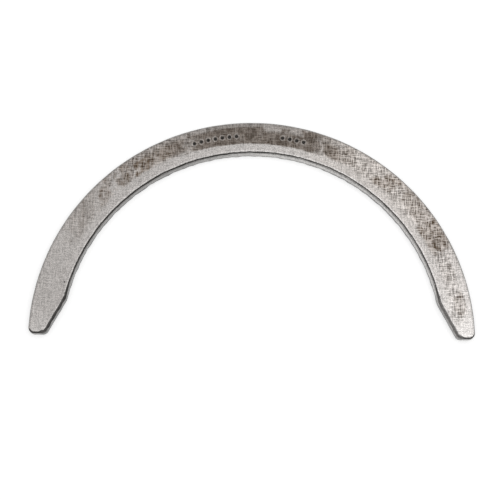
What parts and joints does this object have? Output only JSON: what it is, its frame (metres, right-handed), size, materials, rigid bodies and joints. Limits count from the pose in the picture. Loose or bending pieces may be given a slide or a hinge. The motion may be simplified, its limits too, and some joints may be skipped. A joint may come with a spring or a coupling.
{
  "type": "thrust washer",
  "caption": "Flat half-ring steel thrust washer with a rolled edge, relieved ends and oil grooves, which takes a crankshaft's end thrust against its bearing housing.",
  "frame": {"origin": "centre of the bore's arc, on the plane of the bearing face", "axes": "+Z along the shaft axis, out of the back face; +Y through the middle of the half ring; +X along the line that splits the full ring"},
  "size_m": [0.104, 0.0516, 0.0023],
  "materials": {
    "steel": "satin, fine grain with brown staining"
  },
  "bodies": {
    "root": {"thrust_washer": "steel"}
  },
  "joints": []
}
